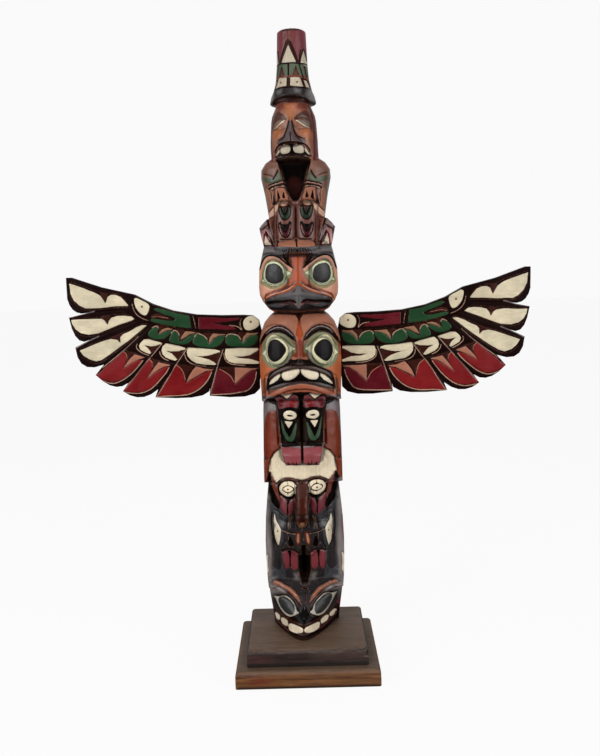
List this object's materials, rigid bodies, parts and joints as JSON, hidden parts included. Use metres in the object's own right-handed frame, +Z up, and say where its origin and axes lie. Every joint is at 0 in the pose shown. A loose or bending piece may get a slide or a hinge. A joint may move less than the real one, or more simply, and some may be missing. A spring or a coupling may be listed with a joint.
{
  "type": "model totem pole",
  "caption": "Carved and painted model totem pole of stacked figures with two outspread feathered wings, standing on a stepped wooden base.",
  "frame": {"origin": "centre of the base's underside", "axes": "+Z up, the figures look towards -Y, the wings spread along X"},
  "size_m": [0.4174, 0.103, 0.5654],
  "materials": {
    "lower_board": "red-brown stained and varnished board, worn along its upper edge",
    "upper_board": "dark grey-brown stained board, chipped and worn along its upper front edge",
    "painted_pole": "carved cedar, stained orange-brown and painted maroon, black, green, cream and salmon under satin varnish",
    "painted_wings": "carved boards painted black, maroon, green and cream under satin varnish"
  },
  "bodies": {
    "root": {"plinth_lower": "lower_board", "plinth_upper": "upper_board", "pole": "painted_pole", "wing_left": "painted_wings", "wing_right": "painted_wings"}
  },
  "joints": []
}
